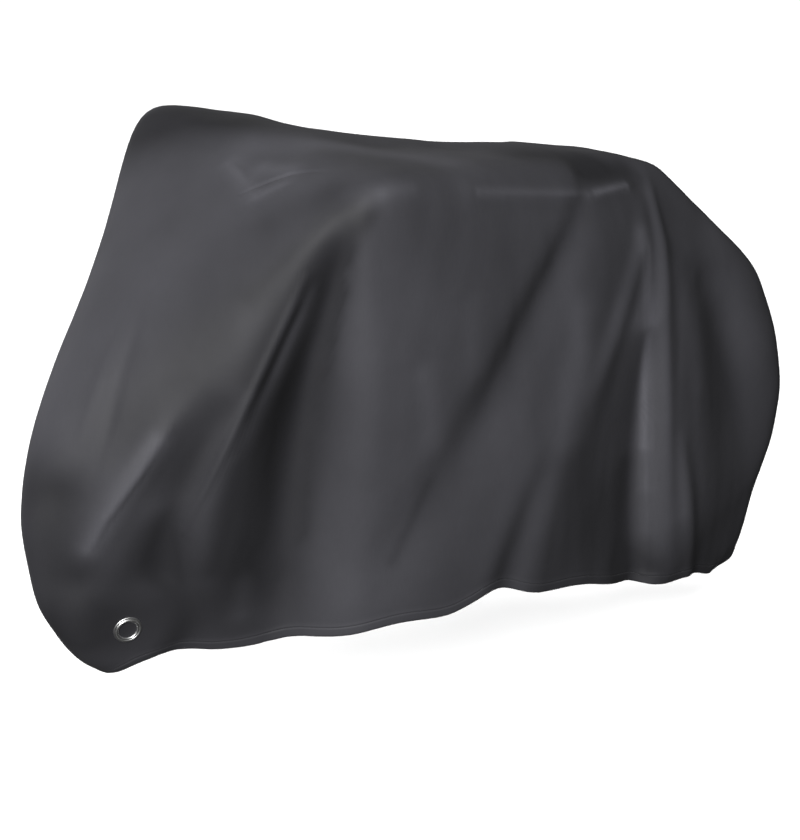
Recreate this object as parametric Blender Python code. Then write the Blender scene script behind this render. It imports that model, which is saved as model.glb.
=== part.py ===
"""Fitted bicycle cover: one sheet of cloth draped over a bicycle, with a metal eyelet in each side of its front
corner. Sizes are in metres. The tables are in the bicycle's own frame: x to the rear from the front axle, y to the
bicycle's right, z up from the ground. The finished part is moved so that its origin lies under the cloth, on top of
the saddle."""

import math

import bmesh
import bpy
import numpy as np
from mathutils import Matrix, Vector
from mathutils.bvhtree import BVHTree

SHEET = 0.0020  # thickness of the cloth
GAP = 0.0003  # clearance between pieces that touch
SADDLE = (0.860, 0.0, 1.012)  # the cloth rests on the saddle here: the part's origin

EYELET_HOLE_R = 0.0180  # clear radius of an eyelet
EYELET_BARREL_R = 0.0207  # outer radius of the barrel that goes through the cloth
EYELET_FLANGE_R = 0.0272  # outer radius of the rolled flange on each face
EYELET_FLANGE_T = 0.0022  # height of a flange over the cloth
EYELET_FLAT = (0.060, 0.140)  # the cloth is flat within the first radius, and as draped from the second

# The cloth's edge along the middle, from the front hem tip over the top to the rear hem tip: what it lies on there is
# twice half_width wide.
MIDDLE = (
    # name, x, z, half_width
    ("front_hem_tip", -0.200, 0.116, 0.010),
    ("front_low", -0.262, 0.162, 0.020),
    ("front_curl", -0.328, 0.270, 0.026),
    ("front_belly", -0.350, 0.425, 0.030),
    ("front_mid", -0.336, 0.530, 0.032),
    ("front_high", -0.298, 0.640, 0.036),
    ("front_top", -0.260, 0.728, 0.040),
    ("stem", 0.185, 1.104, 0.020),
    ("top_tube", 0.500, 1.062, 0.020),
    ("saddle_nose", 0.640, 1.048, 0.030),
    ("saddle_mid", 0.786, 1.030, 0.050),
    ("saddle_back", 0.950, 1.002, 0.060),
    ("saddle_rear", 1.075, 0.970, 0.050),
    ("rack_corner", 1.414, 0.700, 0.026),
    ("rear_high", 1.479, 0.560, 0.026),
    ("rear_belly", 1.504, 0.425, 0.026),
    ("rear_mid", 1.492, 0.305, 0.024),
    ("rear_low", 1.428, 0.150, 0.020),
    ("rear_hem_tip", 1.392, 0.026, 0.010),
)

# What holds the cloth out to each side.
SIDE_POINTS = (
    # name, x, y, z
    ("bar_end_near", 0.200, -0.366, 1.086),
    ("bar_end_far", 0.098, 0.366, 1.136),
    ("saddle_side_near", 0.990, -0.088, 0.956),
    ("saddle_side_far", 0.990, 0.088, 0.966),
    ("saddle_nose_near", 0.700, -0.172, 0.985),
    ("fork_side_near", -0.050, -0.262, 0.650),
    ("wheel_side_near", -0.150, -0.176, 0.430),
)

# The hem in plan and in height, from the front tip to the rear tip, on both sides.
HEM = (
    # name, x, y_near, z_near, y_far, z_far
    ("tip", -0.187, 0.000, 0.119, 0.000, 0.119),
    ("eyelet", -0.152, -0.034, 0.142, 0.040, 0.150),
    ("pocket", -0.055, -0.100, 0.130, 0.110, 0.135),
    ("spokes", 0.040, -0.165, 0.120, 0.175, 0.145),
    ("down_tube", 0.151, -0.222, 0.160, 0.232, 0.160),
    ("crank", 0.310, -0.258, 0.198, 0.262, 0.180),
    ("pedal", 0.435, -0.268, 0.196, 0.270, 0.170),
    ("kink", 0.500, -0.266, 0.226, 0.268, 0.160),
    ("stay", 0.645, -0.252, 0.183, 0.256, 0.150),
    ("rear_wheel", 0.775, -0.232, 0.158, 0.240, 0.135),
    ("rear_axle", 0.944, -0.192, 0.102, 0.205, 0.105),
    ("rear_rim", 1.177, -0.100, 0.062, 0.125, 0.060),
    ("rear_turn", 1.270, -0.058, 0.024, 0.075, 0.040),
    ("rear_tip", 1.376, 0.000, 0.028, 0.000, 0.028),
)

# Folds, each a soft ridge (depth over 0) or trough (under 0) along a curve on one side of the cloth.
# lean makes the rearward flank (under 0) or the forward flank (over 0) the steeper one.
FOLDS = (
    # name, side, x_top, z_top, x_mid, z_mid, x_foot, z_foot, width_top, width_foot, depth_top, depth_mid, depth_foot, lean
    ("bar_valley", "near", 0.152, 0.985, 0.116, 0.610, 0.080, 0.160, 0.028, 0.128, -0.010, -0.100, -0.088, -0.16),
    ("fork_trough", "near", -0.030, 0.700, -0.108, 0.530, -0.150, 0.330, 0.030, 0.074, -0.004, -0.038, -0.028, -0.25),
    ("wheel_rib", "near", -0.110, 0.665, -0.188, 0.540, -0.262, 0.385, 0.020, 0.028, 0.004, 0.022, 0.008, -0.35),
    ("wheel_tuck", "near", -0.160, 0.470, -0.115, 0.320, -0.085, 0.120, 0.040, 0.085, 0.000, -0.036, -0.040, 0.00),
    ("long_trough", "near", 0.770, 0.930, 0.535, 0.658, 0.295, 0.330, 0.036, 0.086, -0.008, -0.020, -0.010, 0.10),
    ("long_ridge", "near", 0.830, 0.820, 0.680, 0.480, 0.520, 0.200, 0.070, 0.120, 0.004, 0.016, 0.014, 0.00),
    ("hem_trough", "near", 0.640, 0.480, 0.580, 0.320, 0.545, 0.180, 0.026, 0.044, -0.002, -0.018, -0.020, 0.10),
    ("seat_rib", "near", 0.985, 0.900, 0.860, 0.690, 0.790, 0.560, 0.022, 0.040, 0.002, 0.010, 0.004, 0.30),
    ("seat_trough", "near", 0.996, 0.660, 0.984, 0.400, 0.992, 0.120, 0.050, 0.140, -0.002, -0.048, -0.050, -0.78),
    ("seat_ridge", "near", 1.020, 0.930, 1.016, 0.520, 1.060, 0.100, 0.014, 0.070, 0.006, 0.020, 0.008, 0.45),
    ("stay_rib", "near", 1.080, 0.420, 1.105, 0.260, 1.130, 0.080, 0.024, 0.030, 0.000, 0.008, 0.008, 0.0),
    ("rack_trough", "near", 1.150, 0.750, 1.290, 0.520, 1.375, 0.200, 0.040, 0.120, -0.006, -0.036, -0.014, -0.20),
    ("top_sag_far", "far", 0.310, 1.090, 0.560, 1.040, 0.820, 0.995, 0.130, 0.110, -0.006, -0.042, -0.006, 0.0),
    ("far_bar_trough", "far", 0.090, 0.960, -0.010, 0.620, -0.100, 0.280, 0.024, 0.056, -0.006, -0.034, -0.018, -0.20),
    ("far_bar_ridge", "far", 0.150, 1.000, 0.120, 0.640, 0.080, 0.150, 0.040, 0.080, 0.006, 0.022, 0.022, 0.0),
    ("far_frame_trough", "far", 0.260, 0.900, 0.300, 0.560, 0.300, 0.120, 0.030, 0.070, -0.004, -0.028, -0.032, 0.20),
    ("far_long_ridge", "far", 0.820, 0.870, 0.560, 0.540, 0.430, 0.120, 0.050, 0.080, 0.002, 0.020, 0.022, 0.0),
    ("far_long_trough", "far", 0.900, 0.820, 0.700, 0.500, 0.600, 0.100, 0.030, 0.060, -0.004, -0.028, -0.026, -0.20),
    ("far_seat_ridge", "far", 1.010, 0.930, 0.930, 0.560, 0.880, 0.060, 0.024, 0.060, 0.004, 0.028, 0.022, 0.0),
    ("far_seat_trough", "far", 1.060, 0.800, 1.060, 0.460, 1.040, 0.040, 0.028, 0.060, -0.004, -0.030, -0.026, 0.15),
    ("far_rack_rib", "far", 1.180, 0.720, 1.180, 0.400, 1.170, 0.020, 0.030, 0.044, 0.000, 0.014, 0.012, 0.0),
    ("far_wheel_rib", "far", -0.090, 0.640, -0.170, 0.500, -0.240, 0.340, 0.022, 0.034, 0.002, 0.016, 0.006, 0.0),
)

# Hollows (depth under 0) and swellings (over 0) along straight lines, where the cloth sags between supports.
DENTS = (
    # name, x_from, y_from, z_from, x_to, y_to, z_to, radius, depth
    ("bars_sag", 0.092, 0.215, 1.092, 0.180, -0.075, 1.084, 0.040, -0.004),
    ("tube_sag", 0.430, -0.010, 1.073, 0.560, -0.010, 1.058, 0.090, -0.009),
    ("saddle_sag", 0.820, -0.130, 0.990, 0.970, -0.082, 0.968, 0.040, -0.015),
    ("near_edge_front", 0.440, -0.292, 1.024, 0.760, -0.184, 0.965, 0.018, 0.004),
    ("near_edge_rear", 0.824, -0.162, 0.956, 0.990, -0.088, 0.957, 0.018, 0.005),
    ("nose_hollow", -0.296, -0.070, 0.500, -0.284, -0.066, 0.350, 0.046, -0.014),
)

# The eyelets, in the two sides of the front corner.
EYELETS = (
    # name, side, x, z
    ("near", "near", -0.171, 0.229),
    ("far", "far", -0.170, 0.226),
)

# Ribs run from the hem up to the spine along the top. The solid keeps these, closer together at the front corner.
RIBS, STEPS = 320, 120
RIB_EVERY = (
    # from_rib, to_rib, stride, on the near side; the far side has the same
    (0, 132, 4),
    (132, 156, 3),
    (156, 161, 4),
)
STEPS_KEPT = (0, 2, 4, 6, 9, 13, 19, 26, 33, 40, 47, 54, 61, 68, 75, 82, 89, 95, 101, 107, 112, 116, 119)
FAN = (0.60, 0.52, 0.46)  # middle, half length and height of the line that the ribs fan out from
SOFTEN = 7  # passes that round the taut cloth where it turns over what carries it

# Where the cloth hangs free between what carries it, it turns in a wider curve.
LOOSE = (
    # name, x, y, z, radius, passes
    ("front_near", -0.030, -0.170, 0.900, 0.230, 160),
    ("front_far", -0.080, 0.150, 0.890, 0.200, 60),
    ("between_grips", 0.160, -0.020, 1.110, 0.190, 60),
)


def through(rows, count):
    """A smooth curve through the rows, as evenly spaced points."""
    p = np.array(rows, float)
    s = np.concatenate([[0], np.cumsum(np.linalg.norm(np.diff(p, axis=0), axis=1))])
    m = np.gradient(p, s, axis=0)
    q = np.linspace(0, s[-1], count)
    i = np.clip(np.searchsorted(s, q) - 1, 0, len(s) - 2)
    h = (s[i + 1] - s[i])[:, None]
    t = (q - s[i])[:, None] / h
    return (
        (2 * t**3 - 3 * t**2 + 1) * p[i]
        + (t**3 - 2 * t**2 + t) * h * m[i]
        + (3 * t**2 - 2 * t**3) * p[i + 1]
        + (t**3 - t**2) * h * m[i + 1]
    )


def ease(x, low, high):
    t = np.clip((x - low) / (high - low), 0, 1)
    return t * t * (3 - 2 * t)


def taut_cloth(ribs, steps):
    """The cloth pulled tight over the bicycle, as ribs x steps x 3 points: step 0 on the hem, the last on the spine.
    Rib angle 0 is the rear tip, 90 degrees the near side, 180 the front tip and 270 the far side."""
    near = through([(x, yn, zn) for _, x, yn, zn, yf, zf in HEM], 60)
    far = through([(x, yf, zf) for _, x, yn, zn, yf, zf in HEM], 60)
    held = [(x, y, z) for _, x, z, half in MIDDLE for y in (-half, half)] + [(x, y, z) for _, x, y, z in SIDE_POINTS]
    bm = bmesh.new()
    for point in [*held, *near, *far]:
        bm.verts.new(point)
    bmesh.ops.convex_hull(bm, input=bm.verts)
    bmesh.ops.delete(bm, geom=[v for v in bm.verts if not v.link_faces], context="VERTS")
    bmesh.ops.triangulate(bm, faces=bm.faces)
    tree = BVHTree.FromBMesh(bm)
    bm.free()
    grid = np.zeros((ribs, steps, 3))
    for i in range(ribs):
        c, s = math.cos(2 * math.pi * i / ribs), math.sin(2 * math.pi * i / ribs)
        out = Vector((0.5 * c, -s, 0)).normalized()
        rib = []
        for tilt in np.radians(np.linspace(-76, 90, 141)):
            up = max(0.0, math.sin(tilt))
            start = Vector((FAN[0] + 0.06 * up + (FAN[1] - 0.25 * up) * c, 0, FAN[2]))
            rib.append(tree.ray_cast(start, math.cos(tilt) * out + Vector((0, 0, math.sin(tilt))))[0])
        rib = np.array(rib)
        side = near if s >= 0 else far
        over = rib[:, 2] - np.interp(rib[:, 0], side[:, 0], side[:, 2])
        k = np.nonzero(over < 0)[0].max()
        foot = rib[k] + (rib[k + 1] - rib[k]) * over[k] / (over[k] - over[k + 1])
        rib = np.vstack([foot, rib[k + 1 :]])
        run = np.concatenate([[0], np.cumsum(np.linalg.norm(np.diff(rib, axis=0), axis=1))])
        grid[i] = np.stack([np.interp(np.linspace(0, run[-1], steps), run, rib[:, a]) for a in range(3)], 1)
    return grid


def across(grid):
    """For each rib, the points one step past the spine: those of the rib that comes down the other side."""
    return grid[-np.arange(len(grid)) % len(grid), -2]


def soften(grid, passes):
    for _ in range(passes):
        grid = 0.5 * grid + 0.25 * (np.roll(grid, 1, 0) + np.roll(grid, -1, 0))
        past = across(grid)
        inner = 0.5 * grid[:, 1:-1] + 0.25 * (grid[:, 2:] + grid[:, :-2])
        spine = 0.5 * grid[:, -1] + 0.25 * (grid[:, -2] + past)
        grid = np.concatenate([grid[:, :1], inner, spine[:, None]], 1)
    return grid


def loosened(grid):
    for _, x, y, z, radius, passes in LOOSE:
        share = np.exp(-(((grid - np.array((x, y, z))) ** 2).sum(2) / radius**2))[..., None]
        for _ in range(passes):
            grid = grid + share * (soften(grid, 1) - grid)
    return grid


def normals(grid):
    """Outward unit normals."""
    along = np.roll(grid, -1, 0) - np.roll(grid, 1, 0)
    up = np.concatenate([grid[:, 1:2] - grid[:, :1], grid[:, 2:] - grid[:, :-2], (across(grid) - grid[:, -2])[:, None]], 1)
    n = np.cross(up, along)
    n[:, -1] = n[:, -2] + n[-np.arange(len(grid)) % len(grid), -2]
    return n / np.maximum(np.linalg.norm(n, axis=2, keepdims=True), 1e-12)


def tree_of(grid):
    ribs, steps, _ = grid.shape
    faces = [
        (i * steps + j, (i + 1) % ribs * steps + j, (i + 1) % ribs * steps + j + 1, i * steps + j + 1)
        for i in range(ribs)
        for j in range(steps - 1)
    ]
    return BVHTree.FromPolygons([Vector(p) for p in grid.reshape(-1, 3)], faces)


def on_side(tree, side, x, z):
    """The point of the cloth at x, z on one side, and its normal."""
    sign = -1.0 if side == "near" else 1.0
    point, normal, _, _ = tree.ray_cast(Vector((x, sign * 2, z)), Vector((0, -sign, 0)))
    if point is None:
        return None, None
    return np.array(point), np.array(normal) * (1 if normal.y * sign > 0 else -1)


def fold_path(tree, row):
    _, side, x0, z0, x1, z1, x2, z2 = row[:8]
    points, facing = [], []
    for t in np.linspace(0, 1, 49):
        a, b, c = (1 - t) * (1 - 2 * t), 4 * t * (1 - t), t * (2 * t - 1)
        x, z = a * x0 + b * x1 + c * x2, a * z0 + b * z1 + c * z2
        point, normal = on_side(tree, side, x, z)
        if point is None and points:
            point, normal = np.array((x, points[-1][1], z)), facing[-1]
        if point is not None:
            points.append(point)
            facing.append(normal)
    points = np.array(points)
    for _ in range(3):
        points[1:-1] = 0.5 * points[1:-1] + 0.25 * (points[2:] + points[:-2])
    return points, np.array(facing)


def fold_offsets(grid, n, tree, rows):
    """How far each point stands out of the taut cloth, along its normal, for the folds."""
    flat, facing = grid.reshape(-1, 3), n.reshape(-1, 3)
    total = np.zeros(len(flat))
    for row in rows:
        path, path_n = fold_path(tree, row)
        w0, w1, d0, d1, d2, lean = row[8:14]
        reach = np.abs(flat[:, None] - path[None, ::8]).max(2).min(1) < 3.2 * max(w0, w1) + 0.08
        p, pn = flat[reach], facing[reach]
        k = ((p[:, None] - path[None]) ** 2).sum(2).argmin(1)
        run = np.gradient(path, axis=0)
        run /= np.linalg.norm(run, axis=1, keepdims=True)
        away = p - path[k]
        step = np.linalg.norm(path[-1] - path[0]) / (len(path) - 1)
        ends = ((k == 0) | (k == len(path) - 1)).astype(float)
        along = (away * run[k]).sum(1)
        t = np.clip((k + np.clip(along / step, -0.5, 0.5)) / (len(path) - 1), 0, 1)
        rest = away - (1 - ends)[:, None] * along[:, None] * run[k]
        sideways = (np.cross(run[k], path_n[k]) * rest).sum(1)
        wide = w0 + (w1 - w0) * t
        wide = wide * np.where(sideways * (1 if row[1] == "near" else -1) < 0, 1 + lean, 1 - lean)
        rise, fall = 4 * (d1 - d0) - (d2 - d0), 2 * (d2 - d0) - 4 * (d1 - d0)
        depth = d0 + rise * t + fall * t * t
        same = ease((pn * path_n[k]).sum(1), -0.1, 0.5)
        total[reach] += depth * same * np.exp(-((np.linalg.norm(rest, axis=1) / wide) ** 2))
    return total.reshape(grid.shape[:2])


def dent_offsets(grid, rows):
    """How far each point stands out where the cloth sags or swells."""
    total = np.zeros(grid.shape[:2])
    for _, x0, y0, z0, x1, y1, z1, radius, depth in rows:
        start, run = np.array((x0, y0, z0)), np.array((x1 - x0, y1 - y0, z1 - z0))
        t = np.clip(((grid - start) * run).sum(2) / (run**2).sum(), 0, 1)[..., None]
        total += depth * np.exp(-(((grid - start - t * run) ** 2).sum(2) / radius**2))
    return total


def eyelet_places(tree):
    """Centre and outward normal of each eyelet, on the folded cloth."""
    places = {}
    for name, side, x, z in EYELETS:
        ring = [on_side(tree, side, x + 0.02 * math.cos(a), z + 0.02 * math.sin(a)) for a in np.linspace(0, 5.5, 8)]
        point = np.mean([p for p, _ in ring], axis=0)
        normal = np.sum([m for _, m in ring], axis=0)
        places[name] = point, normal / np.linalg.norm(normal)
    return places


def cloth_surface(ribs, steps, rows):
    """The outer face of the draped cloth, with its normals and the eyelets' places."""
    grid = loosened(soften(taut_cloth(ribs, steps), SOFTEN))
    n = normals(grid)
    offset = fold_offsets(grid, n, tree_of(grid), rows) + dent_offsets(grid, DENTS)
    grid = grid + offset[..., None] * n
    grid = soften(grid, 2)
    places = eyelet_places(tree_of(grid))
    for centre, normal in places.values():
        away = grid - centre
        height = (away * normal).sum(2)
        radius = np.linalg.norm(away - height[..., None] * normal, axis=2)
        flatten = (1 - ease(radius, *EYELET_FLAT)) * (np.abs(height) < 0.05) * ease((normals(grid) * normal).sum(2), 0.2, 0.6)
        grid = grid - (flatten * height)[..., None] * normal
    return grid, normals(grid), places


def ribs_kept():
    near = [i for low, high, stride in RIB_EVERY for i in range(low, high, stride)]
    return near + [RIBS - i for i in near[-2:0:-1]]


def new_object(name, bm, material):
    mesh = bpy.data.meshes.new(name)
    bm.normal_update()
    bm.to_mesh(mesh)
    bm.free()
    mesh.materials.append(material)
    mesh.shade_smooth()
    mesh.set_sharp_from_angle(angle=math.radians(40))
    made = bpy.data.objects.new(name, mesh)
    bpy.context.scene.collection.objects.link(made)
    return made


def material(name, colour, roughness, metallic):
    made = bpy.data.materials.new(name)
    made.use_nodes = True
    shader = made.node_tree.nodes["Principled BSDF"]
    shader.inputs["Base Color"].default_value = (*colour, 1)
    shader.inputs["Roughness"].default_value = roughness
    shader.inputs["Metallic"].default_value = metallic
    return made


def cloth_object(name, surface, ribs, steps, thickness, made_of):
    """A closed sheet through the chosen ribs and steps, with its outer face on the surface."""
    grid, n, _ = surface
    bm = bmesh.new()
    layers = []
    for depth in (0.0, thickness):
        rows = {}
        for i in ribs:
            if i > RIBS // 2 and RIBS - i in rows:
                top = rows[RIBS - i][-1]
            else:
                top = None
            points = grid[i, steps] - depth * n[i, steps] - np.array(SADDLE)
            verts = [bm.verts.new(p) for p in points[:-1]]
            rows[i] = [*verts, top or bm.verts.new(points[-1])]
        layers.append([rows[i] for i in ribs])
    outer, inner = layers
    for a in range(len(ribs)):
        b = (a + 1) % len(ribs)
        for j in range(len(steps) - 1):
            for layer, turn in ((outer, 1), (inner, -1)):
                loop = [layer[a][j], layer[b][j], layer[b][j + 1], layer[a][j + 1]]
                loop = [v for k, v in enumerate(loop) if v not in loop[:k]]
                bm.faces.new(loop[:: -turn])
        bm.faces.new([outer[a][0], inner[a][0], inner[b][0], outer[b][0]][::-1])
    bmesh.ops.triangulate(bm, faces=bm.faces)
    bmesh.ops.recalc_face_normals(bm, faces=bm.faces)
    return new_object(name, bm, made_of)


def helper(name, bm):
    mesh = bpy.data.meshes.new(name)
    bm.to_mesh(mesh)
    bm.free()
    made = bpy.data.objects.new(name, mesh)
    bpy.context.scene.collection.objects.link(made)
    made.hide_render = True
    made.display_type = "WIRE"
    return made


def box_helper(name, low, high):
    bm = bmesh.new()
    bmesh.ops.create_cube(bm, size=1.0)
    low, high = Vector(low) - Vector(SADDLE), Vector(high) - Vector(SADDLE)
    for v in bm.verts:
        v.co = Vector(low[k] + (v.co[k] + 0.5) * (high[k] - low[k]) for k in range(3))
    return helper(name, bm)


def boolean(target, cutter, operation, name):
    mod = target.modifiers.new(name, "BOOLEAN")
    mod.operation = operation
    mod.solver = "EXACT"
    mod.object = cutter


def eyelet_ring(name, made_of):
    """A rolled grommet about z: flanges over both faces of the cloth and a barrel between them. z = 0 is the cloth's
    outer face."""
    over, top = GAP, GAP + EYELET_FLANGE_T
    under, bottom = -SHEET - GAP, -SHEET - GAP - EYELET_FLANGE_T
    hole, barrel, flange, round_off = EYELET_HOLE_R, EYELET_BARREL_R, EYELET_FLANGE_R, 0.0009
    profile = (
        (hole + round_off, bottom),
        (flange - round_off, bottom),
        (flange, bottom + round_off),
        (flange, under),
        (barrel, under),
        (barrel, over),
        (flange, over),
        (flange, top - round_off),
        (flange - round_off, top),
        (hole + round_off, top),
        (hole, top - round_off),
        (hole, bottom + round_off),
    )
    turns = 24
    bm = bmesh.new()
    loops = [
        [bm.verts.new((r * math.cos(2 * math.pi * k / turns), r * math.sin(2 * math.pi * k / turns), h)) for r, h in profile]
        for k in range(turns)
    ]
    for k in range(turns):
        one, two = loops[k], loops[(k + 1) % turns]
        for j in range(len(profile)):
            m = (j + 1) % len(profile)
            bm.faces.new([one[j], two[j], two[m], one[m]])
    bmesh.ops.recalc_face_normals(bm, faces=bm.faces)
    return new_object(name, bm, made_of)


def main():
    for old in list(bpy.data.objects):
        bpy.data.objects.remove(old)
    cloth_stuff = material("charcoal_cloth", (0.065, 0.065, 0.073), 0.60, 0.0)
    metal = material("eyelet_metal", (0.72, 0.72, 0.70), 0.25, 1.0)
    surface = cloth_surface(RIBS, STEPS, FOLDS)
    places = surface[2]
    ribs, steps = ribs_kept(), list(STEPS_KEPT)
    cover = cloth_object("cover_cloth", surface, ribs, steps, SHEET, cloth_stuff)
    for name, side, x, z in EYELETS:
        sign = -1 if side == "near" else 1
        strip = cloth_object(f"eyelet_strip_{name}", surface, ribs, steps, SHEET, cloth_stuff)
        low, high = (x - 0.062, 0.006, 0.0), (x + 0.066, 0.300, z + 0.068)
        for margin, target, operation in ((0.0, strip, "INTERSECT"), (GAP, cover, "DIFFERENCE")):
            y = sorted((sign * (low[1] - margin), sign * high[1]))
            cutter = box_helper(
                f"cut_{target.name}_{name}", (low[0] - margin, y[0], low[2]), (high[0] + margin, y[1], high[2] + margin)
            )
            boolean(target, cutter, operation, f"strip_{name}")
        centre, normal = places[name]
        ring = eyelet_ring(f"eyelet_ring_{name}", metal)
        ring.location = Vector(centre) - Vector(SADDLE)
        ring.rotation_euler = Vector(normal).to_track_quat("Z", "Y").to_euler()
        bm = bmesh.new()
        bmesh.ops.create_cone(
            bm, cap_ends=True, segments=24, radius1=EYELET_BARREL_R + GAP, radius2=EYELET_BARREL_R + GAP, depth=0.04
        )
        punch = helper(f"cut_eyelet_{name}", bm)
        punch.location, punch.rotation_euler = ring.location, ring.rotation_euler
        boolean(strip, punch, "DIFFERENCE", "eyelet_hole")


main()
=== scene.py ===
"""Fitted bicycle cover: how it looks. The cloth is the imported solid's own draped surface, worked out again at a finer
pitch, with its turned hem, stitching, eyelets and finishes. Sizes are in metres. The tables are in the bicycle's own
frame, as in the part: x to the rear from the front axle, y to the bicycle's right, z up from the ground. Everything is
moved by SADDLE at the end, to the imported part's frame."""

import math

import bmesh
import bpy
import numpy as np
from mathutils import Matrix, Vector, noise
from mathutils.bvhtree import BVHTree

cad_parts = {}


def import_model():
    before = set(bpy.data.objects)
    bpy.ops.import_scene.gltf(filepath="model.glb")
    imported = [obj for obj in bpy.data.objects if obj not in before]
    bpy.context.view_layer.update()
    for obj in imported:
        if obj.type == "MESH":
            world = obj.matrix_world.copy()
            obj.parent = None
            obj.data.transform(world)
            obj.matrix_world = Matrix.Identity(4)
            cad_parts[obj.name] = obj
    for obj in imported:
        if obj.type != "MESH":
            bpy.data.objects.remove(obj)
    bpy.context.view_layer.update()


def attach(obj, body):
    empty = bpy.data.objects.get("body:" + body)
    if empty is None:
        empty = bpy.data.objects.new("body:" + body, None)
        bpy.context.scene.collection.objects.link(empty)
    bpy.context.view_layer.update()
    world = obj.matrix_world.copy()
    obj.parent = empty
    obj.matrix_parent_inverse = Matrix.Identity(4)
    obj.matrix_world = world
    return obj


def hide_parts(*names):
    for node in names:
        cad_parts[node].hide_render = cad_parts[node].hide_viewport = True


SHEET = 0.0020  # thickness of the cloth
GAP = 0.0003  # clearance between pieces that touch
SADDLE = (0.860, 0.0, 1.012)  # the cloth rests on the saddle here: the part's origin

EYELET_HOLE_R = 0.0180  # clear radius of an eyelet
EYELET_BARREL_R = 0.0207  # outer radius of the barrel that goes through the cloth
EYELET_FLANGE_R = 0.0272  # outer radius of the rolled flange on each face
EYELET_FLANGE_T = 0.0022  # height of a flange over the cloth
EYELET_FLAT = (0.060, 0.140)  # the cloth is flat within the first radius, and as draped from the second

# The cloth's edge along the middle, from the front hem tip over the top to the rear hem tip: what it lies on there is
# twice half_width wide.
MIDDLE = (
    # name, x, z, half_width
    ("front_hem_tip", -0.200, 0.116, 0.010),
    ("front_low", -0.262, 0.162, 0.020),
    ("front_curl", -0.328, 0.270, 0.026),
    ("front_belly", -0.350, 0.425, 0.030),
    ("front_mid", -0.336, 0.530, 0.032),
    ("front_high", -0.298, 0.640, 0.036),
    ("front_top", -0.260, 0.728, 0.040),
    ("stem", 0.185, 1.104, 0.020),
    ("top_tube", 0.500, 1.062, 0.020),
    ("saddle_nose", 0.640, 1.048, 0.030),
    ("saddle_mid", 0.786, 1.030, 0.050),
    ("saddle_back", 0.950, 1.002, 0.060),
    ("saddle_rear", 1.075, 0.970, 0.050),
    ("rack_corner", 1.414, 0.700, 0.026),
    ("rear_high", 1.479, 0.560, 0.026),
    ("rear_belly", 1.504, 0.425, 0.026),
    ("rear_mid", 1.492, 0.305, 0.024),
    ("rear_low", 1.428, 0.150, 0.020),
    ("rear_hem_tip", 1.392, 0.026, 0.010),
)

# What holds the cloth out to each side.
SIDE_POINTS = (
    # name, x, y, z
    ("bar_end_near", 0.200, -0.366, 1.086),
    ("bar_end_far", 0.098, 0.366, 1.136),
    ("saddle_side_near", 0.990, -0.088, 0.956),
    ("saddle_side_far", 0.990, 0.088, 0.966),
    ("saddle_nose_near", 0.700, -0.172, 0.985),
    ("fork_side_near", -0.050, -0.262, 0.650),
    ("wheel_side_near", -0.150, -0.176, 0.430),
)

# The hem in plan and in height, from the front tip to the rear tip, on both sides.
HEM = (
    # name, x, y_near, z_near, y_far, z_far
    ("tip", -0.187, 0.000, 0.119, 0.000, 0.119),
    ("eyelet", -0.152, -0.034, 0.142, 0.040, 0.150),
    ("pocket", -0.055, -0.100, 0.130, 0.110, 0.135),
    ("spokes", 0.040, -0.165, 0.120, 0.175, 0.145),
    ("down_tube", 0.151, -0.222, 0.160, 0.232, 0.160),
    ("crank", 0.310, -0.258, 0.198, 0.262, 0.180),
    ("pedal", 0.435, -0.268, 0.196, 0.270, 0.170),
    ("kink", 0.500, -0.266, 0.226, 0.268, 0.160),
    ("stay", 0.645, -0.252, 0.183, 0.256, 0.150),
    ("rear_wheel", 0.775, -0.232, 0.158, 0.240, 0.135),
    ("rear_axle", 0.944, -0.192, 0.102, 0.205, 0.105),
    ("rear_rim", 1.177, -0.100, 0.062, 0.125, 0.060),
    ("rear_turn", 1.270, -0.058, 0.024, 0.075, 0.040),
    ("rear_tip", 1.376, 0.000, 0.028, 0.000, 0.028),
)

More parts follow.
